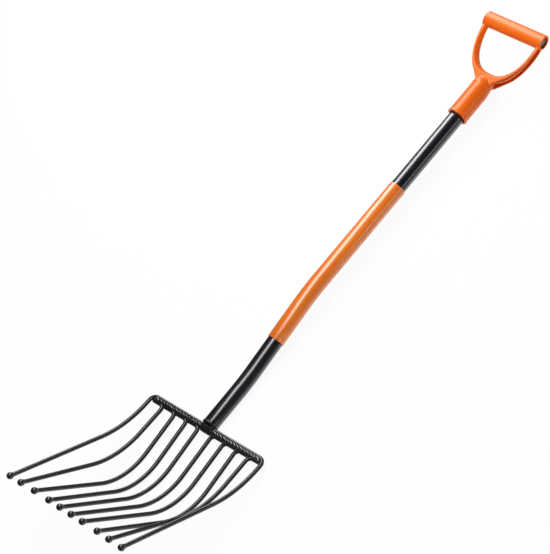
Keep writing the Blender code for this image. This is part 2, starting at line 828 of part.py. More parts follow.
rod_cutter = make_rods()
make_tube()
make_sleeve()
make_tongue()
make_welds(rod_cutter)
make_handle()
make_core()
stand_on_origin()
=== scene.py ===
import json
import math
import random

import bpy
from mathutils import Matrix, Vector


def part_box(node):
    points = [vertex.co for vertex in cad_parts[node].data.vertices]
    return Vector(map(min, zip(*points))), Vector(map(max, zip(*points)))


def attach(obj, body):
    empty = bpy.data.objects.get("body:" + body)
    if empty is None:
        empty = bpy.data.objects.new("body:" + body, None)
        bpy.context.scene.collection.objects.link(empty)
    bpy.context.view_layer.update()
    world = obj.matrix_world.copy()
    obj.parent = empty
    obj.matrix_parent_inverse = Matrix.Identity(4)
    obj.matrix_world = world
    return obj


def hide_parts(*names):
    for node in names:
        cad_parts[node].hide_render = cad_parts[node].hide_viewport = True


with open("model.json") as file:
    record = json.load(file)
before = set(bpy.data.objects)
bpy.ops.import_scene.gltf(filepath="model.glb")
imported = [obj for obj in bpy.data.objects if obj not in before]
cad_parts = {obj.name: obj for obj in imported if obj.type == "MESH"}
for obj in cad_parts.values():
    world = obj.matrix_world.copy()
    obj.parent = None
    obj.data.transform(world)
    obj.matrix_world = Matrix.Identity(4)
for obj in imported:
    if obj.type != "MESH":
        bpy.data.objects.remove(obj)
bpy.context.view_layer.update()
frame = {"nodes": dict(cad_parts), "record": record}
nodes = frame["nodes"]
scene = bpy.context.scene
print("frame loaded:", len(nodes), "nodes")


# Edit-mode helpers

# "facing" is how closely a normal must follow an axis to count as an end face
meshing = {"mergeDistance": 1e-6, "smoothAngle": math.radians(35), "smoothFactor": 0.5, "facing": 0.99}


def objectMode():
    if bpy.context.object and bpy.context.object.mode != "OBJECT":
        bpy.ops.object.mode_set(mode="OBJECT")


def clearSelection():
    objectMode()
    bpy.ops.object.select_all(action="DESELECT")


def choose(piece):
    clearSelection()
    bpy.context.view_layer.objects.active = piece
    piece.select_set(True)


def editMode(piece, selectMode="FACE"):
    choose(piece)
    bpy.ops.object.mode_set(mode="EDIT")
    bpy.ops.mesh.select_mode(type=selectMode)
    bpy.ops.mesh.select_all(action="DESELECT")


def editAll(piece, selectMode="FACE"):
    editMode(piece, selectMode)
    bpy.ops.mesh.select_all(action="SELECT")


def pickFaces(piece, test):
    # test(centre, normal) says whether a face is taken
    objectMode()
    for face in piece.data.polygons:
        face.select = bool(test(face.center, face.normal))
    bpy.ops.object.mode_set(mode="EDIT")


def settle(piece):
    # Puts the object's place into its mesh
    choose(piece)
    bpy.ops.object.transform_apply(location=True, rotation=True, scale=True)


def applyModifier(piece, kind, **settings):
    choose(piece)
    modifier = piece.modifiers.new(kind.lower(), kind)
    for key, value in settings.items():
        setattr(modifier, key, value)
    bpy.ops.object.modifier_apply(modifier=modifier.name)


def mergeMesh(piece):
    editAll(piece)
    bpy.ops.mesh.remove_doubles(threshold=meshing["mergeDistance"])
    bpy.ops.mesh.normals_make_consistent(inside=False)
    objectMode()


def tidyMesh(piece, smoothAngle=meshing["smoothAngle"]):
    mergeMesh(piece)
    bpy.ops.object.shade_smooth_by_angle(angle=smoothAngle)


def fuse(piece, voxel, passes):
    # One skin over shapes that run into each other, its edges worn round by the smoothing passes
    applyModifier(piece, "REMESH", mode="VOXEL", voxel_size=voxel, adaptivity=0.0)
    applyModifier(piece, "SMOOTH", factor=meshing["smoothFactor"], iterations=passes)


def joinPieces(name, group):
    clearSelection()
    for piece in group:
        piece.select_set(True)
    bpy.context.view_layer.objects.active = group[0]
    bpy.ops.object.join()
    piece = bpy.context.object
    piece.name = name
    return piece


def eulerAlong(direction):
    return direction.to_track_quat("Z", "Y").to_euler()


def disc(radius, sides, spot, turn, filled=True):
    clearSelection()
    bpy.ops.mesh.primitive_circle_add(vertices=sides, radius=radius, fill_type="NGON" if filled else "NOTHING",
                                      location=spot, rotation=turn)
    piece = bpy.context.object
    settle(piece)
    return piece


def pull(offset):
    bpy.ops.mesh.extrude_region_move(TRANSFORM_OT_translate={"value": offset})


def pullAlong(corners, bendRadii, bendSteps):
    # Pulls the selected end along straight runs and spins it round every bend
    here = corners[0]
    for i, (radius, steps) in enumerate(zip(bendRadii, bendSteps), 1):
        into = (corners[i] - corners[i - 1]).normalized()
        out = (corners[i + 1] - corners[i]).normalized()
        turn = into.angle(out)
        reach = radius * math.tan(turn / 2)
        bendStart = corners[i] - into * reach
        side = (out - into * into.dot(out)).normalized()
        pull(bendStart - here)
        # A spin turns clockwise about its axis, so the angle is negative
        bpy.ops.mesh.spin(steps=steps, angle=-turn, center=bendStart + side * radius,
                          axis=into.cross(out).normalized())
        here = corners[i] + out * reach
    pull(corners[-1] - here)


def bentBar(name, corners, bendRadii, bendSteps, radius, sides, hollow=False):
    # A round bar or open pipe, begun as a flat disc or ring
    way = (corners[1] - corners[0]).normalized()
    piece = disc(radius, sides, corners[0], eulerAlong(way), not hollow)
    piece.name = name
    editAll(piece, "EDGE" if hollow else "FACE")
    pullAlong(corners, bendRadii, bendSteps)
    objectMode()
    return piece


# Finishes

pattern = {
    "noiseRoughness": 0.55, "fineDetail": 2.0,
    "toneScale": 9.0, "toneDetail": 4.0, "toneFrom": 0.32, "toneTo": 0.68,
    "dustScale": 420.0, "dustDetail": 1.0, "dustFrom": 0.66, "dustTo": 0.80,
    "scuffStretch": (900.0, 14.0, 900.0), "scuffScale": 1.0, "scuffFrom": 0.66, "scuffTo": 0.78,
    "patchScale": 26.0, "patchFrom": 0.50, "patchTo": 0.68,
    "roughFrom": 0.3, "roughTo": 0.7, "scuffRoughness": 0.25}
mixSockets = {"FLOAT": (2, 3, 0), "RGBA": (6, 7, 2)}  # first input, second input and output of each kind of mix


def feed(tree, value, socket):
    # A value is another node's output, or a plain number or colour
    if isinstance(value, bpy.types.NodeSocket):
        tree.links.new(value, socket)
    else:
        socket.default_value = value


def newGroup(name, numbersIn, numbersOut):
    group = bpy.data.node_groups.new(name, "ShaderNodeTree")
    group.interface.new_socket(name="Vector", in_out="INPUT", socket_type="NodeSocketVector")
    for label in numbersIn:
        group.interface.new_socket(name=label, in_out="INPUT", socket_type="NodeSocketFloat")
    for label in numbersOut:
        group.interface.new_socket(name=label, in_out="OUTPUT", socket_type="NodeSocketFloat")
    return group, group.nodes.new("NodeGroupInput").outputs, group.nodes.new("NodeGroupOutput").inputs


def noiseNode(tree, place, scale, detail):
    node = tree.nodes.new("ShaderNodeTexNoise")
    for label, value in (("Vector", place), ("Scale", scale), ("Detail", detail),
                         ("Roughness", pattern["noiseRoughness"])):
        feed(tree, value, node.inputs[label])
    return node.outputs[0]


def mathNode(tree, operation, first, second):
    node = tree.nodes.new("ShaderNodeMath")
    node.operation = operation
    feed(tree, first, node.inputs[0])
    feed(tree, second, node.inputs[1])
    return node.outputs[0]


def rangeNode(tree, value, low, high, toLow=0.0, toHigh=1.0):
    node = tree.nodes.new("ShaderNodeMapRange")
    for label, number in (("Value", value), ("From Min", low), ("From Max", high), ("To Min", toLow),
                          ("To Max", toHigh)):
        feed(tree, number, node.inputs[label])
    return node.outputs["Result"]


def mixNode(tree, kind, factor, first, second):
    node = tree.nodes.new("ShaderNodeMix")
    node.data_type = kind
    firstSocket, secondSocket, result = mixSockets[kind]
    feed(tree, factor, node.inputs[0])
    feed(tree, first, node.inputs[firstSocket])
    feed(tree, second, node.inputs[secondSocket])
    return node.outputs[result]


def makeSkinGroup():
    # Sprayed or moulded skin: fine grain, a slow swell, dust specks and a tone that drifts
    group, given, result = newGroup("skin", ("Grain Scale", "Swell Scale", "Swell Share"),
                                    ("Height", "Tone", "Dust"))
    place = given["Vector"]
    grain = noiseNode(group, place, given["Grain Scale"], pattern["fineDetail"])
    swell = noiseNode(group, place, given["Swell Scale"], pattern["fineDetail"])
    tone = noiseNode(group, place, pattern["toneScale"], pattern["toneDetail"])
    dust = noiseNode(group, place, pattern["dustScale"], pattern["dustDetail"])
    feed(group, mixNode(group, "FLOAT", given["Swell Share"], grain, swell), result["Height"])
    feed(group, tone, result["Tone"])
    feed(group, rangeNode(group, dust, pattern["dustFrom"], pattern["dustTo"]), result["Dust"])
    return group


def makeScuffGroup():
    # Thin scratches that run along the tool, thinned out by a patchy mask
    group, given, result = newGroup("scuffs", ("Amount",), ("Mask",))
    mapping = group.nodes.new("ShaderNodeMapping")
    feed(group, given["Vector"], mapping.inputs["Vector"])
    feed(group, pattern["scuffStretch"], mapping.inputs["Scale"])
    lines = noiseNode(group, mapping.outputs[0], pattern["scuffScale"], pattern["fineDetail"])
    patches = noiseNode(group, given["Vector"], pattern["patchScale"], pattern["fineDetail"])
    thin = rangeNode(group, lines, pattern["scuffFrom"], pattern["scuffTo"])
    where = rangeNode(group, patches, pattern["patchFrom"], pattern["patchTo"])
    both = mathNode(group, "MULTIPLY", thin, where)
    feed(group, mathNode(group, "MULTIPLY", both, given["Amount"]), result["Mask"])
    return group


skinGroup = makeSkinGroup()
scuffGroup = makeScuffGroup()


def placeGroup(tree, group, values):
    node = tree.nodes.new("ShaderNodeGroup")
    node.node_tree = group
    for label, value in values.items():
        feed(tree, value, node.inputs[label])
    return node.outputs


def opaque(tone):
    return (*tone, 1.0)


def makeFinish(name, look):
    # One painted or moulded finish, from a dictionary of values
    material = bpy.data.materials.new(name)
    material.use_nodes = True
    tree = material.node_tree
    shader = tree.nodes["Principled BSDF"].inputs
    place = tree.nodes.new("ShaderNodeTexCoord").outputs["Object"]
    skin = placeGroup(tree, skinGroup, {"Vector": place, "Grain Scale": look["grainScale"],
                                        "Swell Scale": look["swellScale"], "Swell Share": look["swellShare"]})
    scuffs = placeGroup(tree, scuffGroup, {"Vector": place, "Amount": look["scuffs"]})
    tone = rangeNode(tree, skin["Tone"], pattern["toneFrom"], pattern["toneTo"])
    colour = mixNode(tree, "RGBA", tone, opaque(look["darkTone"]), opaque(look["lightTone"]))
    dusted = mathNode(tree, "MULTIPLY", skin["Dust"], look["dust"])
    colour = mixNode(tree, "RGBA", dusted, colour, opaque(look["dustTone"]))
    colour = mixNode(tree, "RGBA", scuffs["Mask"], colour, opaque(look["scuffTone"]))
    feed(tree, colour, shader["Base Color"])
    rough = rangeNode(tree, skin["Tone"], pattern["roughFrom"], pattern["roughTo"],
                      look["roughness"] - look["roughSpan"], look["roughness"] + look["roughSpan"])
    scuffed = mathNode(tree, "MULTIPLY", scuffs["Mask"], pattern["scuffRoughness"])
    feed(tree, mathNode(tree, "ADD", rough, scuffed), shader["Roughness"])
    bump = tree.nodes.new("ShaderNodeBump")
    for label, value in (("Strength", look["bump"]), ("Distance", look["bumpDepth"]),
                         ("Height", skin["Height"])):
        feed(tree, value, bump.inputs[label])
    feed(tree, bump.outputs[0], shader["Normal"])
    for label, value in (("IOR", look["ior"]), ("Specular Tint", opaque(look["specularTint"])),
                         ("Coat Weight", look["coat"]), ("Coat Roughness", look["coatRoughness"]),
                         ("Coat IOR", look["coatIor"])):
        shader[label].default_value = value
    return material


commonLook = {"bumpDepth": 0.0003, "ior": 1.5, "specularTint": (1.0, 1.0, 1.0), "coatIor": 1.5}
looks = {
    "tubePaint": {
        "darkTone": (0.004, 0.004, 0.006), "lightTone": (0.007, 0.007, 0.010), "dustTone": (0.03, 0.03, 0.035),
        "scuffTone": (0.020, 0.020, 0.024), "dust": 0.15, "scuffs": 0.25, "roughness": 0.30, "roughSpan": 0.04,
        "grainScale": 500.0, "swellScale": 70.0, "swellShare": 0.9, "bump": 0.03,
        "coat": 1.0, "coatRoughness": 0.18},
    "rodPaint": {
        "darkTone": (0.007, 0.006, 0.008), "lightTone": (0.013, 0.012, 0.015), "dustTone": (0.05, 0.048, 0.055),
        "scuffTone": (0.035, 0.034, 0.04), "dust": 0.25, "scuffs": 0.35, "roughness": 0.38, "roughSpan": 0.06,
        "grainScale": 900.0, "swellScale": 160.0, "swellShare": 0.8, "bump": 0.08,
        "specularTint": (1.0, 0.97, 1.0), "coat": 0.4, "coatRoughness": 0.22},
    "ballPaint": {
        "darkTone": (0.005, 0.005, 0.006), "lightTone": (0.009, 0.009, 0.011), "dustTone": (0.04, 0.04, 0.05),
        "scuffTone": (0.03, 0.03, 0.035), "dust": 0.2, "scuffs": 0.4, "roughness": 0.34, "roughSpan": 0.05,
        "grainScale": 900.0, "swellScale": 200.0, "swellShare": 0.7, "bump": 0.10,
        "coat": 0.6, "coatRoughness": 0.20},
    "weldPaint": {
        "darkTone": (0.006, 0.006, 0.008), "lightTone": (0.016, 0.016, 0.019), "dustTone": (0.08, 0.08, 0.09),
        "scuffTone": (0.05, 0.05, 0.055), "dust": 0.5, "scuffs": 0.2, "roughness": 0.34, "roughSpan": 0.08,
        "grainScale": 900.0, "swellScale": 420.0, "swellShare": 0.7, "bump": 0.30, "bumpDepth": 0.0005,
        "coat": 0.8, "coatRoughness": 0.20, "coatIor": 1.6},
    "sleevePlastic": {
        "darkTone": (0.72, 0.150, 0.005), "lightTone": (0.80, 0.182, 0.008), "dustTone": (0.85, 0.36, 0.10),
        "scuffTone": (0.84, 0.26, 0.05), "dust": 0.10, "scuffs": 0.20, "roughness": 0.30, "roughSpan": 0.03,
        "grainScale": 500.0, "swellScale": 70.0, "swellShare": 0.9, "bump": 0.03,
        "specularTint": (1.0, 0.85, 0.65), "coat": 1.0, "coatRoughness": 0.28, "coatIor": 1.6},
    "handlePlastic": {
        "darkTone": (0.78, 0.112, 0.004), "lightTone": (0.86, 0.142, 0.008), "dustTone": (0.95, 0.36, 0.10),
        "scuffTone": (0.95, 0.30, 0.06), "dust": 0.10, "scuffs": 0.12, "roughness": 0.44, "roughSpan": 0.04,
        "grainScale": 1200.0, "swellScale": 150.0, "swellShare": 0.6, "bump": 0.07,
        "specularTint": (1.0, 0.52, 0.12), "coat": 0.45, "coatRoughness": 0.25},
    "corePlastic": {
        "darkTone": (0.11, 0.11, 0.13), "lightTone": (0.18, 0.18, 0.20), "dustTone": (0.30, 0.30, 0.31),
        "scuffTone": (0.30, 0.30, 0.31), "dust": 0.3, "scuffs": 0.3, "roughness": 0.45, "roughSpan": 0.08,
        "grainScale": 1500.0, "swellScale": 500.0, "swellShare": 0.5, "bump": 0.3,
        "coat": 0.0, "coatRoughness": 0.3}}
# The collar and the tongue are duller than the runs of weld beside them
looks["collarPaint"] = {**looks["weldPaint"], "roughness": 0.46, "coat": 0.15, "specularTint": (0.6, 0.6, 0.6)}

finishes = {name: makeFinish(name, {**commonLook, **look}) for name, look in looks.items()}
slotFinish = {"black_gloss": "tubePaint", "black_rod": "rodPaint", "black_ball": "ballPaint",
              "weld_black": "weldPaint", "orange_plastic": "handlePlastic", "grey_core": "corePlastic"}
for subpart in frame["record"]["subparts"]:
    node = nodes[subpart["node"]]
    node.data.materials.clear()
    node.data.materials.append(finishes[slotFinish[subpart["material_slot"]]])
print("finishes made:", len(finishes))


def dress(piece, finish, node):
    piece.data.materials.clear()
    piece.data.materials.append(finishes[finish])
    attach(piece, "root")
    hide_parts(node)


# Shaft

shaft = {
    "radius": 0.014, "wall": 0.0015, "sides": 64,
    "lowerRun": 0.0947, "jogRun": 0.1856, "upperRun": 0.4600, "socketLength": 0.0603, "depthInSocket": 0.0477,
    "jogSlope": math.radians(6.45), "upperSlope": math.radians(-0.44), "bendRadius": 0.450, "bendSteps": 24,
    "sleeveWall": 0.0009, "sleeveStart": 0.0843, "sleeveLength": 0.3366, "touchGap": 0.0003,
    "lipRound": 0.0003, "lipSegments": 2, "lipAngle": math.radians(60)}


def slopeWay(slope):
    return Vector((0.0, math.cos(slope), math.sin(slope)))


jogWay = slopeWay(shaft["jogSlope"])
upperWay = slopeWay(shaft["upperSlope"])
tubeStart = Vector((0.0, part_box("shaft_tube")[0].y, shaft["radius"]))
firstCorner = tubeStart + slopeWay(0.0) * shaft["lowerRun"]
secondCorner = firstCorner + jogWay * shaft["jogRun"]
crankCorner = secondCorner + upperWay * shaft["upperRun"]
socketRim = crankCorner - upperWay * shaft["socketLength"]
tubeEnd = socketRim + upperWay * shaft["depthInSocket"]


def makePipe(name, corners, radius, wall):
    # A pipe with the shaft's bends, its wall grown inwards and its lips broken
    bends = len(corners) - 2
    pipe = bentBar(name, corners, [shaft["bendRadius"]] * bends, [shaft["bendSteps"]] * bends, radius,
                   shaft["sides"], hollow=True)
    tidyMesh(pipe)
    applyModifier(pipe, "SOLIDIFY", thickness=wall, offset=-1.0, use_even_offset=True)
    applyModifier(pipe, "BEVEL", width=shaft["lipRound"], segments=shaft["lipSegments"], limit_method="ANGLE",
                  angle_limit=shaft["lipAngle"])
    tidyMesh(pipe)
    return pipe


def makeTube():
    corners = [tubeStart, firstCorner, secondCorner, tubeEnd]
    tube = makePipe("shaftTube", corners, shaft["radius"], shaft["wall"])
    dress(tube, "tubePaint", "shaft_tube")


def makeSleeve():
    low = firstCorner + jogWay * shaft["sleeveStart"]
    rest = shaft["sleeveLength"] - (shaft["jogRun"] - shaft["sleeveStart"])
    high = secondCorner + upperWay * rest
    outer = shaft["radius"] + shaft["touchGap"] + shaft["sleeveWall"]
    sleeve = makePipe("shaftSleeve", [low, secondCorner, high], outer, shaft["sleeveWall"])
    dress(sleeve, "sleevePlastic", "shaft_sleeve")


makeTube()
makeSleeve()
print("shaft made")


# Handle

handle = {
    "crankAngle": math.radians(13.85), "crankToGrip": 0.1215, "tilt": math.radians(2.5),
    "armHalfWidth": 0.0636, "armDrop": 0.1010, "armExponent": 2.1, "armSetback": 0.0010,
    "openingHalfWidth": 0.0540, "openingDrop": 0.0848, "openingExponent": 2.45,
    "armDepth": 0.0110, "footDepth": 0.0232, "arcSteps": 72,
    "armRound": 0.0054, "armRoundSegments": 8, "armRoundProfile": 0.36,
    "armEdge": 0.0009, "armEdgeSegments": 3, "armEdgeProfile": 0.5,
    "faceTolerance": 1e-5, "openingMargin": 1.01, "topMargin": 1e-4,
    "webStart": math.radians(59.9), "webKnee": (0.0175, 0.1027), "webCorner": (0.0120, 0.1075),
    "webEnd": (0.0040, 0.1120), "webSteps": 10,
    "flange": 0.0027, "channelDepth": 0.0050, "channelStart": 0.0130, "channelReach": 0.0120,
    "channelEnd": 0.003475, "bandSteps": 48,
    "rib": 0.0026, "footRib": 0.0060, "ribForward": 0.0007, "ribInset": 0.0008, "ribRoot": 0.001,
    "ribStart": math.radians(6), "ribEnd": 0.22, "ribFade": 4,
    "gripWidth": 0.0278, "gripThickness": 0.0188, "gripLength": 0.1310, "gripRound": 0.0012, "roundSegments": 3,
    "boreWidth": 0.0206, "boreThickness": 0.0156, "boreSpare": 0.02, "boreRound": 0.001,
    "coreRecess": 0.0030, "coreRound": 0.0004, "noseInset": 0.0021, "noseLength": 0.0045, "noseEdge": 0.0006,
    "socketRadius": 0.0183, "rimRadius": 0.0191, "rimLength": 0.0034, "rimEase": 0.4, "rimCut": 0.25,
    "neckBend": 0.0450, "bendRings": 8, "flareRings": 16, "leastTurn": 1e-5,
    "neckEndDrop": 0.0938, "neckEndWidth": 0.0352, "neckEndDepth": 0.0206, "neckEase": 0.85,
    "mouthClearance": 0.0014, "mouthDepth": 0.0080, "cutterSpare": 0.004,
    "sides": 96, "voxel": 0.00052, "smoothPasses": 7, "keptShare": 0.42, "smoothAngle": math.radians(75)}

gripSlope = shaft["upperSlope"] + handle["crankAngle"]
gripCentre = crankCorner + slopeWay(gripSlope) * handle["crankToGrip"]
handlePlace = Matrix.Translation(gripCentre) @ Matrix.Rotation(gripSlope + handle["tilt"], 4, "X")
armPlace = Matrix.Translation((0.0, 0.0, -handle["armSetback"]))


def moveTo(piece, place):
    piece.matrix_world = place
    settle(piece)


def arcPoint(halfWidth, drop, exponent, angle):
    # A point of a squarish arc under the grip, from the right end at no angle to the left at half a turn
    across = abs(math.cos(angle)) ** (2 / exponent) * (1 if math.cos(angle) > 0 else -1)
    return halfWidth * across, -drop * abs(math.sin(angle)) ** (2 / exponent)


def armPoint(angle, inset=0.0):
    return arcPoint(handle["armHalfWidth"] - inset, handle["armDrop"] - inset, handle["armExponent"], angle)


def webPoints():
    # The concave foot of the D's outline, on the right side
    corners = (handle["webKnee"], handle["webCorner"], handle["webEnd"])
    points = []
    for k in range(handle["webSteps"] + 1):
        t = k / handle["webSteps"]
        shares = ((1 - t) ** 2, 2 * t * (1 - t), t * t)
        points.append((sum(share * corner[0] for share, corner in zip(shares, corners)),
                       -sum(share * corner[1] for share, corner in zip(shares, corners))))
    return points


def flatShape(name, outline, thickness, place):
    # A closed outline filled, given a thickness about its plane and made a mesh
    curve = bpy.data.curves.new(name, "CURVE")
    curve.dimensions = "2D"
    curve.fill_mode = "BOTH"
    curve.extrude = thickness / 2
    spline = curve.splines.new("POLY")
    spline.points.add(len(outline) - 1)
    for point, (x, y) in zip(spline.points, outline):
        point.co = (x, y, 0.0, 1.0)
    spline.use_cyclic_u = True
    piece = bpy.data.objects.new(name, curve)
    scene.collection.objects.link(piece)
    piece.matrix_world = place
    choose(piece)
    bpy.ops.object.convert(target="MESH")
    piece = bpy.context.object
    settle(piece)
    mergeMesh(piece)
    return piece


def deepen(piece, atGrip, atFoot):
    # Lets a flat piece's depth grow evenly from the grip's centreline to the arms' lowest point
    middle = -handle["armSetback"]
    for vertex in piece.data.vertices:
        grown = 1 + (atFoot / atGrip - 1) * -vertex.co.y / handle["armDrop"]
        vertex.co.z = middle + (vertex.co.z - middle) * grown


def breakEdges(arms, ofOpening, offset, segments, profile):
    # Bevels the arms' front and back rims, round the opening or round the outside
    editMode(arms, "EDGE")
    objectMode()
    front = handle["armDepth"] / 2
    for edge in arms.data.edges:
        ends = [arms.data.vertices[i].co for i in edge.vertices]
        middle = (ends[0] + ends[1]) / 2
        onFace = abs(abs(middle.z + handle["armSetback"]) - front) < handle["faceTolerance"]
        across = abs(middle.x) / handle["openingHalfWidth"]
        down = max(0.0, -middle.y / handle["openingDrop"])
        power = handle["openingExponent"]
        inside = across ** power + down ** power < handle["openingMargin"]
        edge.select = onFace and inside == ofOpening and middle.y < -handle["topMargin"]
    bpy.ops.object.mode_set(mode="EDIT")
    bpy.ops.mesh.bevel(offset=offset, segments=segments, profile=profile, affect="EDGES")
    objectMode()


def makeArms():
    # Two arms in one flat U, its inner edges rounded towards the hand opening
    steps = handle["arcSteps"]
    half = steps // 2
    right = [armPoint(handle["webStart"] * k / half) for k in range(half + 1)] + webPoints()
    outer = right + [(-x, y) for x, y in reversed(right)]
    inner = [arcPoint(handle["openingHalfWidth"], handle["openingDrop"], handle["openingExponent"],
                      math.pi * k / steps) for k in range(steps + 1)]
    arms = flatShape("arms", outer + inner[::-1], handle["armDepth"], armPlace)
    editMode(arms)
    for side in (1, -1):
        pickFaces(arms, lambda point, normal: normal.z * side > meshing["facing"])
        bpy.ops.mesh.dissolve_faces()
        bpy.ops.mesh.select_all(action="DESELECT")
    breakEdges(arms, False, handle["armEdge"], handle["armEdgeSegments"], handle["armEdgeProfile"])
    breakEdges(arms, True, handle["armRound"], handle["armRoundSegments"], handle["armRoundProfile"])
    deepen(arms, handle["armDepth"], handle["footDepth"])
    return arms


def armBand(name, side, first, last, outerInsets, innerInset, depths):
    # A flat strip that follows one arm's outline between two angles, at the given insets from it
    steps = len(outerInsets) - 1
    angles = [first + (last - first) * k / steps for k in range(steps + 1)]
    outline = [armPoint(angle, inset) for angle, inset in zip(angles, outerInsets)]
    outline += [armPoint(angle, innerInset) for angle in reversed(angles)]
    band = flatShape(name, [(side * x, y) for x, y in outline], depths[0], armPlace)
    deepen(band, *depths)
    return band


def carve(piece, cutter, solver):
    applyModifier(piece, "BOOLEAN", operation="DIFFERENCE", object=cutter, solver=solver)
    bpy.data.objects.remove(cutter, do_unlink=True)


def ovalBar(name, length, width, thickness, edgeRound):
    # A round bar along X, bevelled at its ends and squashed to an oval
    clearSelection()
    bpy.ops.mesh.primitive_cylinder_add(vertices=handle["sides"], radius=width / 2, depth=length,
                                        rotation=(0.0, math.pi / 2, 0.0))
    bar = bpy.context.object
    bar.name = name
    settle(bar)
    editMode(bar)
    pickFaces(bar, lambda point, normal: abs(normal.x) > meshing["facing"])
    bpy.ops.mesh.bevel(offset=edgeRound, segments=handle["roundSegments"], affect="EDGES")
    bpy.ops.mesh.select_all(action="SELECT")
    bpy.ops.transform.resize(value=(1.0, 1.0, thickness / width), center_override=(0.0, 0.0, 0.0))
    objectMode()
    return bar


def neckRings():
    # Centre, half width, half depth and direction of every ring, from the socket's rim to the yoke
    radius, rim, length = handle["socketRadius"], handle["rimRadius"], handle["rimLength"]
    soft = rim - radius
    cut, ease = handle["rimCut"], handle["rimEase"]
    rings = [(socketRim + offset, size, size, upperWay) for offset, size in (
        (upperWay * 0.0, radius), (upperWay * soft * ease, rim - soft * cut), (upperWay * soft, rim),
        (upperWay * (length - soft), rim), (upperWay * length, rim - soft * ease),
        (upperWay * (length + soft), radius))]
    bendStart = crankCorner - upperWay * (handle["neckBend"] * math.tan(handle["crankAngle"] / 2))
    centre = bendStart + Vector((0.0, -upperWay.z, upperWay.y)) * handle["neckBend"]
    for k in range(handle["bendRings"] + 1):
        turn = Matrix.Rotation(handle["crankAngle"] * k / handle["bendRings"], 3, "X")
        rings.append((centre + turn @ (bendStart - centre), radius, radius, turn @ upperWay))
    last = rings[-1][0]
    end = handlePlace @ armPlace @ Vector((0.0, -handle["neckEndDrop"], 0.0))
    out = slopeWay(gripSlope)
    upArms = handlePlace.to_3x3() @ Vector((0.0, 1.0, 0.0))
    for k in range(1, handle["flareRings"] + 1):
        share = k / handle["flareRings"]
        eased = min(1.0, share / handle["neckEase"])
        eased = eased ** 2 * (3 - 2 * eased)
        rings.append((last.lerp(end, share), radius + (handle["neckEndWidth"] / 2 - radius) * eased,
                      radius + (handle["neckEndDepth"] / 2 - radius) * eased,
                      out.lerp(upArms, share).normalized()))
    return rings


def makeNeck():
    # Socket with its rolled rim, turned over the crank and flared into the yoke, pulled ring by ring
    rings = neckRings()
    neck = disc(rings[0][1], handle["sides"], rings[0][0], eulerAlong(upperWay))
    neck.name = "neck"
    editAll(neck)
    for before, after in zip(rings, rings[1:]):
        pull(after[0] - before[0])
        turn = before[3].rotation_difference(after[3]).angle
        if turn > handle["leastTurn"]:
            bpy.ops.transform.rotate(value=turn, orient_axis="X", center_override=after[0])
        depth = after[2] / before[2]
        bpy.ops.transform.resize(value=(after[1] / before[1], depth, depth), center_override=after[0])
    objectMode()
    tidyMesh(neck)
    moveTo(neck, handlePlace.inverted())
    return neck


def channelAngles():
    # The angles at which the arms' outer channels start, beside the neck, and finish, under the grip
    power = handle["armExponent"] / 2
    start = math.acos((handle["channelStart"] / handle["armHalfWidth"]) ** power)
    return start, (handle["channelEnd"] / handle["armDrop"]) ** power


def cutChannels(arms):
    start, finish = channelAngles()
    wallDepths = (handle["armDepth"] - 2 * handle["flange"], handle["footDepth"] - 2 * handle["flange"])
    insets = [-handle["channelReach"]] * (handle["bandSteps"] + 1)
    for side in (-1, 1):
        groove = armBand("groove", side, start, finish, insets, handle["channelDepth"], wallDepths)
        carve(arms, groove, "EXACT")


def makeRibs():
    # A rib stands in each channel and sinks into its floor towards the grip
    start = channelAngles()[0]
    steps = handle["bandSteps"]
    fall = handle["channelDepth"] - handle["ribInset"]
    insets = [handle["ribInset"] + fall * (k / steps) ** handle["ribFade"] for k in range(steps + 1)]
    ribs = []
    for side in (-1, 1):
        rib = armBand("rib", side, start + handle["ribStart"], start * handle["ribEnd"], insets,
                      handle["channelDepth"] + handle["ribRoot"], (handle["rib"], handle["footRib"]))
        for vertex in rib.data.vertices:
            vertex.co.z += handle["ribForward"]
        ribs.append(rib)
    return ribs


def cutSocket(body):
    # The tube's bore and the wider mouth in front of it
    tubeCut = (shaft["radius"] + shaft["touchGap"], shaft["depthInSocket"] + shaft["touchGap"])
    mouthCut = (shaft["radius"] + handle["mouthClearance"], handle["mouthDepth"])
    spare = handle["cutterSpare"]
    for radius, depth in (tubeCut, mouthCut):
        clearSelection()
        bpy.ops.mesh.primitive_cylinder_add(
            vertices=handle["sides"], radius=radius, depth=depth + spare,
            location=socketRim + upperWay * (depth - spare) / 2, rotation=eulerAlong(upperWay))
        cutter = bpy.context.object
        settle(cutter)
        carve(body, cutter, "MANIFOLD")


def makeHandle():
    arms = makeArms()
    cutChannels(arms)
    ribs = makeRibs()
    grip = ovalBar("grip", handle["gripLength"], handle["gripWidth"], handle["gripThickness"],
                   handle["gripRound"])
    body = joinPieces("dHandle", [arms, *ribs, grip, makeNeck()])
    fuse(body, handle["voxel"], handle["smoothPasses"])
    applyModifier(body, "DECIMATE", ratio=handle["keptShare"])
    bore = ovalBar("bore", handle["gripLength"] + handle["boreSpare"], handle["boreWidth"],
                   handle["boreThickness"], handle["boreRound"])
    carve(body, bore, "MANIFOLD")
    moveTo(body, handlePlace)
    cutSocket(body)
    choose(body)
    bpy.ops.object.shade_smooth_by_angle(angle=handle["smoothAngle"])
    dress(body, "handlePlastic", "d_handle")


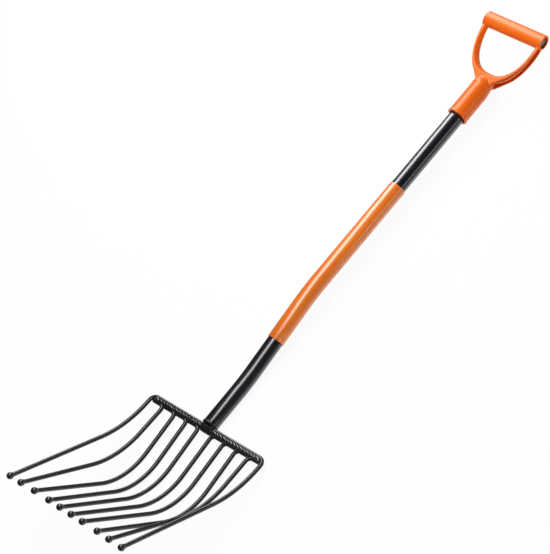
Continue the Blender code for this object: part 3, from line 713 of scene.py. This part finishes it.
def makeCore():
    # The core fills the bore and steps down to a nose at both ends, so a dark ring shows round it
    gap = shaft["touchGap"]
    length = handle["gripLength"] - 2 * (handle["coreRecess"] + handle["noseLength"])
    core = ovalBar("gripCore", length, handle["boreWidth"] - 2 * gap, handle["boreThickness"] - 2 * gap,
                   handle["coreRound"])
    editMode(core)
    edge = handle["noseEdge"]
    for side in (1, -1):
        pickFaces(core, lambda point, normal: normal.x * side > meshing["facing"])
        bpy.ops.mesh.inset(thickness=handle["noseInset"], depth=0.0)
        pull(Vector((side * (handle["noseLength"] - edge), 0.0, 0.0)))
        bpy.ops.mesh.inset(thickness=edge, depth=edge)
        bpy.ops.mesh.select_all(action="DESELECT")
    objectMode()
    tidyMesh(core)
    moveTo(core, handlePlace)
    dress(core, "corePlastic", "grip_core")


makeHandle()
makeCore()
print("handle made")


# Head

# Each kind of tine runs down from the bar at "slope", bends up by "bend" and ends in a straight tip run
head = {
    "rodRadius": 0.0037, "rodSides": 24, "touchGap": 0.0003,
    "innerPairs": 4, "pitch": 0.0286, "middlePitch": 0.0316, "halfWidth": 0.1322, "outerFootEnd": 0.1262,
    "footBend": 0.0090, "cornerBend": 0.0115, "cornerSteps": 12, "bendSteps": 36,
    "barTilt": math.radians(17.0),
    "inner": {"slope": math.radians(5.7), "run": 0.0816, "radius": 0.1052,
              "bend": math.radians(57.3), "tipRun": 0.1489},
    "second": {"slope": math.radians(-2.2), "run": 0.0594, "radius": 0.1509,
               "bend": math.radians(41.9), "tipRun": 0.1520},
    "outer": {"slope": math.radians(-1.4), "run": 0.0122, "radius": 0.1880,
              "bend": math.radians(33.7), "tipRun": 0.1947},
    "tipHalfWidths": [0.0135, 0.0402, 0.0754, 0.1055, 0.1336],
    "ballRadius": 0.00602, "ballSides": 28, "ballRings": 18, "ballAngle": math.radians(50), "rodInBall": 0.5,
    "collarRadius": 0.0047, "collarLength": 0.0026, "collarSink": 0.0006, "collarStraight": 0.55,
    "collarSpare": 0.0004}


def barPoints():
    # Centrelines of the crossbar's two rows: the outer rod's back run and the inner tines' feet
    spacing = 2 * head["rodRadius"] + head["touchGap"]
    slope, run, bendRadius = (head["inner"][key] for key in ("slope", "run", "radius"))
    feetZ = head["rodRadius"] + run * math.sin(slope) + bendRadius * (1 - math.cos(slope))
    backZ = feetZ + spacing * math.sin(head["barTilt"])
    backY = tubeStart.y - head["rodRadius"] - head["touchGap"]
    feetY = backY - spacing * math.cos(head["barTilt"])
    return Vector((0.0, backY, backZ)), Vector((0.0, feetY, feetZ))


backRod, feetRow = barPoints()


def tineCorners(side, rootX, tipX, start, shape):
    # Root, apex of the bend and tip
    reach = shape["radius"] * math.tan(shape["bend"] / 2)
    first = shape["run"] + reach
    whole = first + reach + shape["tipRun"]
    apexX = rootX + (tipX - rootX) * first / whole
    apex = Vector((side * apexX, start.y - first * math.cos(shape["slope"]),
                   start.z - first * math.sin(shape["slope"])))
    rise = shape["bend"] - shape["slope"]
    second = reach + shape["tipRun"]
    tip = Vector((side * tipX, apex.y - second * math.cos(rise), apex.z + second * math.sin(rise)))
    return [Vector((side * rootX, start.y, start.z)), apex, tip]


def makeBallPattern():
    # A ball with a short collar drawn out of its pole towards the rod, here upwards
    clearSelection()
    bpy.ops.mesh.primitive_uv_sphere_add(segments=head["ballSides"], ring_count=head["ballRings"],
                                         radius=head["ballRadius"])
    ball = bpy.context.object
    up = Vector((0.0, 0.0, 1.0))
    collar, sink = head["collarRadius"], head["collarSink"]
    shoulder = math.sqrt(head["ballRadius"] ** 2 - collar ** 2)
    editMode(ball)
    pickFaces(ball, lambda point, normal: point.z > shoulder)
    bpy.ops.mesh.delete(type="FACE")
    objectMode()
    ring = disc(collar, head["ballSides"], up * (shoulder - sink), (0.0, 0.0, 0.0), filled=False)
    editAll(ring, "EDGE")
    straight = head["collarLength"] * head["collarStraight"]
    pull(up * straight)
    pull(up * (head["collarLength"] - straight + sink))
    shrink = (head["rodRadius"] + head["collarSpare"]) / collar
    bpy.ops.transform.resize(value=(shrink,) * 3, center_override=up * (shoulder + head["collarLength"]))
    bpy.ops.mesh.fill()
    objectMode()
    piece = joinPieces("ballPattern", [ball, ring])
    bpy.ops.object.shade_smooth_by_angle(angle=head["ballAngle"])
    return piece


ballPattern = makeBallPattern()


def placeBall(number, centre, towardsRod):
    ball = ballPattern.copy()
    ball.data = ballPattern.data.copy()
    ball.name = "tipBall" + str(number)
    scene.collection.objects.link(ball)
    ball.location = centre
    ball.rotation_euler = eulerAlong(towardsRod)
    settle(ball)
    dress(ball, "ballPaint", "tip_ball_%d" % number)


def cutTip(corners):
    # Ends a tine's corners inside its ball, and gives the ball's centre and the way back along the rod
    centre = corners[2].copy()
    back = (corners[1] - centre).normalized()
    corners[2] = centre + back * (head["ballRadius"] * head["rodInBall"])
    return centre, back


def makeTine(number, index, side):
    outermost = index == head["innerPairs"] - 1
    shape = head["second" if outermost else "inner"]
    rootX = head["middlePitch"] / 2 + head["pitch"] * index
    corners = tineCorners(side, rootX, head["tipHalfWidths"][index], feetRow, shape)
    footEnd = head["outerFootEnd"]
    if not outermost:
        # The foot stops where the next tine's own bend starts to swing away from the bar
        swell = 2 * math.sqrt(head["footBend"] * head["rodRadius"]) - head["footBend"]
        footEnd = rootX + head["pitch"] - swell - head["touchGap"]
    foot = Vector((side * footEnd, feetRow.y, feetRow.z))
    ballPlace = cutTip(corners)
    rod = bentBar("tineRod" + str(number), [foot] + corners, [head["footBend"], shape["radius"]],
                  [head["cornerSteps"], head["bendSteps"]], head["rodRadius"], head["rodSides"])
    tidyMesh(rod)
    dress(rod, "rodPaint", "tine_%d" % number)
    placeBall(number, *ballPlace)


def makeOuterRod():
    # One rod makes the first tine, the crossbar's back run and the tenth tine
    shape = head["outer"]
    halves = []
    for side, number in ((-1, 1), (1, 10)):
        corners = tineCorners(side, head["halfWidth"], head["tipHalfWidths"][-1], backRod, shape)
        placeBall(number, *cutTip(corners))
        halves.append(corners)
    rod = bentBar("outerRod", halves[0][::-1] + halves[1],
                  [shape["radius"], head["cornerBend"], head["cornerBend"], shape["radius"]],
                  [head["bendSteps"], head["cornerSteps"], head["cornerSteps"], head["bendSteps"]],
                  head["rodRadius"], head["rodSides"])
    tidyMesh(rod)
    dress(rod, "rodPaint", "outer_rod")


# The tines are numbered 1 to 10 from the left, and made in pairs from the middle outwards
for index in range(head["innerPairs"]):
    makeTine(5 - index, index, -1)
    makeTine(6 + index, index, 1)
makeOuterRod()
bpy.data.objects.remove(ballPattern, do_unlink=True)
print("rods and ball tips made")


# Welds and tongue

welds = {
    "start": 0.0095, "end": 0.1268, "halfWidth": 0.0044, "halfHeight": 0.0026, "lift": 0.0019,
    "sides": 28, "step": 0.00045, "smoothAngle": math.radians(60),
    "pitch": 0.0078, "skew": 0.0080, "ripple": 0.36, "rippleWidth": 0.06,
    "rippleRise": 0.22, "rippleFall": 0.6, "rippleCrest": 1.30,
    "seed": 11, "straySteps": 6, "waver": 0.0021, "strayWidth": 0.13,
    "blob": 0.0110, "blobGrowth": 0.35, "blobDrop": 0.0020,
    "endTaper": 3.0, "endLeft": 0.02, "startTaper": 0.0015, "startLeft": 0.3,
    "tongueSpread": 1.14, "tongueMelt": {"voxel": 0.0006, "passes": 14, "lump": 0.0011, "lumpSize": 0.0075},
    "collarSqueeze": 0.885, "collarMelt": {"voxel": 0.0005, "passes": 30, "lump": 0.0007, "lumpSize": 0.0060}}


def makeBead(side, name, node):
    # A run of weld in the valley of the crossbar: a bar pulled step by step, then pushed into ripples
    length = welds["end"] - welds["start"]
    steps = int(length / welds["step"])
    bead = disc(1.0, welds["sides"], (0.0, 0.0, 0.0), (0.0, math.pi / 2, 0.0))
    editAll(bead)
    for k in range(steps):
        pull(Vector((1.0, 0.0, 0.0)))
    objectMode()
    across = (backRod - feetRow).normalized()
    normal = Vector((0.0, -across.z, across.y))
    middle = (backRod + feetRow) / 2 + normal * welds["lift"]
    # One stray value for every few steps, and spare ones past the end
    dice = random.Random(welds["seed"] + side)
    strays = [dice.uniform(-1.0, 1.0) for k in range(steps // welds["straySteps"] + 3)]
    for vertex in bead.data.vertices:
        # So far a step is one unit long and the bar's radius is one
        along = vertex.co.x * welds["step"]
        wide, high = vertex.co.y, vertex.co.z
        spot = vertex.co.x / welds["straySteps"]
        low = int(spot)
        stray = strays[low] + (strays[low + 1] - strays[low]) * (spot - low)
        phase = (side * along + welds["skew"] * wide + stray * welds["waver"]) / welds["pitch"]
        saw = phase % 1.0
        scale = min(1.0, saw / welds["rippleRise"]) * (1.0 - saw) ** welds["rippleFall"] * welds["rippleCrest"]
        toEnd = (length - along) / welds["blob"]
        swell = 1.0 + welds["blobGrowth"] * max(0.0, 1.0 - toEnd) ** 0.5
        closing = min(1.0, toEnd * welds["endTaper"] + welds["endLeft"]) ** 0.5
        closing *= min(1.0, along / welds["startTaper"] + welds["startLeft"])
        width = 1.0 + welds["strayWidth"] * stray + welds["rippleWidth"] * scale
        width = welds["halfWidth"] * width * swell * closing
        height = welds["halfHeight"] * (1.0 - welds["ripple"] * (1.0 - scale)) * swell * closing
        drop = welds["blobDrop"] * max(0.0, 1.0 - toEnd) ** 2
        place = middle + across * (wide * width - drop) + normal * high * height
        vertex.co = Vector((side * (welds["start"] + along), place.y, place.z))
    tidyMesh(bead, welds["smoothAngle"])
    bead.name = name
    dress(bead, "weldPaint", node)


def nodeCopy(node, name):
    # A CAD node's own shape, merged, as the start of a melted piece
    piece = nodes[node].copy()
    piece.data = nodes[node].data.copy()
    piece.name = name
    scene.collection.objects.link(piece)
    mergeMesh(piece)
    return piece


def stretch(piece, factors, centre):
    editAll(piece)
    bpy.ops.transform.resize(value=factors, center_override=centre)
    objectMode()


def melt(piece, way):
    # Edges melted and the skin left lumpy
    fuse(piece, way["voxel"], way["passes"])
    clouds = bpy.data.textures.new(piece.name + "Lumps", "CLOUDS")
    clouds.noise_scale = way["lumpSize"]
    clouds.noise_depth = 1
    applyModifier(piece, "DISPLACE", texture=clouds, texture_coords="LOCAL", strength=way["lump"],
                  mid_level=0.5)
    choose(piece)
    bpy.ops.object.shade_smooth()


def makeTongue():
    tongue = nodeCopy("shaft_tongue", "tongue")
    stretch(tongue, (welds["tongueSpread"], 1.0, 1.0), (0.0, 0.0, 0.0))
    melt(tongue, welds["tongueMelt"])
    dress(tongue, "collarPaint", "shaft_tongue")


def makeCollarWeld():
    # The ring of weld, run out over the tongue's back in a fillet
    ring = nodeCopy("shaft_weld", "ring")
    stretch(ring, (welds["collarSqueeze"], 1.0, welds["collarSqueeze"]), tubeStart)
    collar = joinPieces("collarWeld", [ring, nodeCopy("shaft_tongue", "underTongue")])
    melt(collar, welds["collarMelt"])
    dress(collar, "collarPaint", "shaft_weld")


makeBead(-1, "weldRunLeft", "weld_bead_left")
makeBead(1, "weldRunRight", "weld_bead_right")
makeCollarWeld()  # before the tongue, whose node is hidden once it is replaced and can't be copied then
makeTongue()
print("welds and tongue made")


# Stage, lamps and camera

stage = {
    "floorSize": 16.0, "floorTone": (0.86, 0.86, 0.86), "floorRoughness": 0.9, "floorGlow": 0.93,
    "slantBlend": 0.5, "fadeFrom": 0.42, "fadeTo": 0.72, "farGlow": 0.08,
    "worldTone": (0.035, 0.035, 0.045), "seenTone": (1.0, 1.0, 1.0)}


def makeFloor():
    bpy.ops.mesh.primitive_plane_add(size=stage["floorSize"], location=(0.0, 0.0, 0.0))
    floor = bpy.context.object
    floor.name = "floor"
    material = bpy.data.materials.new("floorPaper")
    material.use_nodes = True
    material.cycles.emission_sampling = "NONE"  # the glow is only seen and mirrored, never a lamp
    tree = material.node_tree
    shader = tree.nodes["Principled BSDF"]
    for label, value in (("Base Color", opaque(stage["floorTone"])), ("Roughness", stage["floorRoughness"]),
                         ("Specular IOR Level", 0.0)):
        shader.inputs[label].default_value = value
    glow = tree.nodes.new("ShaderNodeEmission")
    path = tree.nodes.new("ShaderNodeLightPath").outputs
    slant = tree.nodes.new("ShaderNodeLayerWeight")
    slant.inputs["Blend"].default_value = stage["slantBlend"]
    # Mirrored in the fork, the paper dies away towards the horizon
    fade = rangeNode(tree, slant.outputs["Facing"], stage["fadeFrom"], stage["fadeTo"], 1.0, stage["farGlow"])
    direct = mathNode(tree, "MAXIMUM", path["Is Camera Ray"], path["Is Transmission Ray"])
    feed(tree, mathNode(tree, "MAXIMUM", fade, direct), glow.inputs["Strength"])
    seen = mathNode(tree, "MAXIMUM", direct, path["Is Glossy Ray"])
    mixer = tree.nodes.new("ShaderNodeMixShader")
    feed(tree, mathNode(tree, "MULTIPLY", seen, stage["floorGlow"]), mixer.inputs[0])
    feed(tree, shader.outputs[0], mixer.inputs[1])
    feed(tree, glow.outputs[0], mixer.inputs[2])
    feed(tree, mixer.outputs[0], tree.nodes["Material Output"].inputs["Surface"])
    floor.data.materials.append(material)


lamps = [
    {"name": "overheadBox", "spot": (-0.62, 0.75, 1.45), "aim": (0.0, 0.05, 0.0), "size": (0.64, 5.0),
     "power": 84.0},
    {"name": "sideBox", "spot": (2.2, 1.6, 0.15), "aim": (0.0, 0.5, 0.08), "size": (1.6, 0.28), "power": 5.0},
    {"name": "frontBox", "spot": (2.3, -1.2, 0.22), "aim": (0.0, 0.5, 0.08), "size": (1.0, 0.4), "power": 13.0}]


def makeLamp(lamp):
    data = bpy.data.lights.new(lamp["name"], "AREA")
    data.shape = "RECTANGLE"
    data.size, data.size_y = lamp["size"]
    data.energy = lamp["power"]
    light = bpy.data.objects.new(lamp["name"], data)
    scene.collection.objects.link(light)
    light.location = lamp["spot"]
    light.rotation_euler = eulerAlong(Vector(lamp["spot"]) - Vector(lamp["aim"]))


def makeWorld():
    # White where the camera sees it, a faint grey light on everything else
    world = bpy.data.worlds.new("studio")
    scene.world = world
    world.use_nodes = True
    tree = world.node_tree
    path = tree.nodes.new("ShaderNodeLightPath").outputs
    tone = mixNode(tree, "RGBA", path["Is Camera Ray"], opaque(stage["worldTone"]), opaque(stage["seenTone"]))
    background = tree.nodes["Background"]
    feed(tree, tone, background.inputs["Color"])
    background.inputs["Strength"].default_value = 1.0


# The camera's place and its three axes, solved from the photo's tines; the shift is half a pixel each way
view = {
    "spot": (2.9680, -1.2897, 3.8139), "right": (0.69972, 0.61957, -0.35575),
    "up": (-0.37677, 0.74311, 0.55308), "back": (0.60699, -0.25297, 0.75340),
    "lens": 194.95, "sensor": 36.0, "shift": (-0.5 / 554, 0.5 / 554)}


def makeCamera():
    data = bpy.data.cameras.new("photoCamera")
    data.sensor_width = view["sensor"]
    data.lens = view["lens"]
    data.shift_x, data.shift_y = view["shift"]
    camera = bpy.data.objects.new("photoCamera", data)
    scene.collection.objects.link(camera)
    turn = Matrix([view["right"], view["up"], view["back"]]).transposed().to_4x4()
    camera.matrix_world = Matrix.Translation(view["spot"]) @ turn
    scene.camera = camera


clearSelection()
makeFloor()
for lamp in lamps:
    makeLamp(lamp)
makeWorld()
makeCamera()
scene.view_settings.view_transform = "Standard"
print("stage, lamps and camera made")
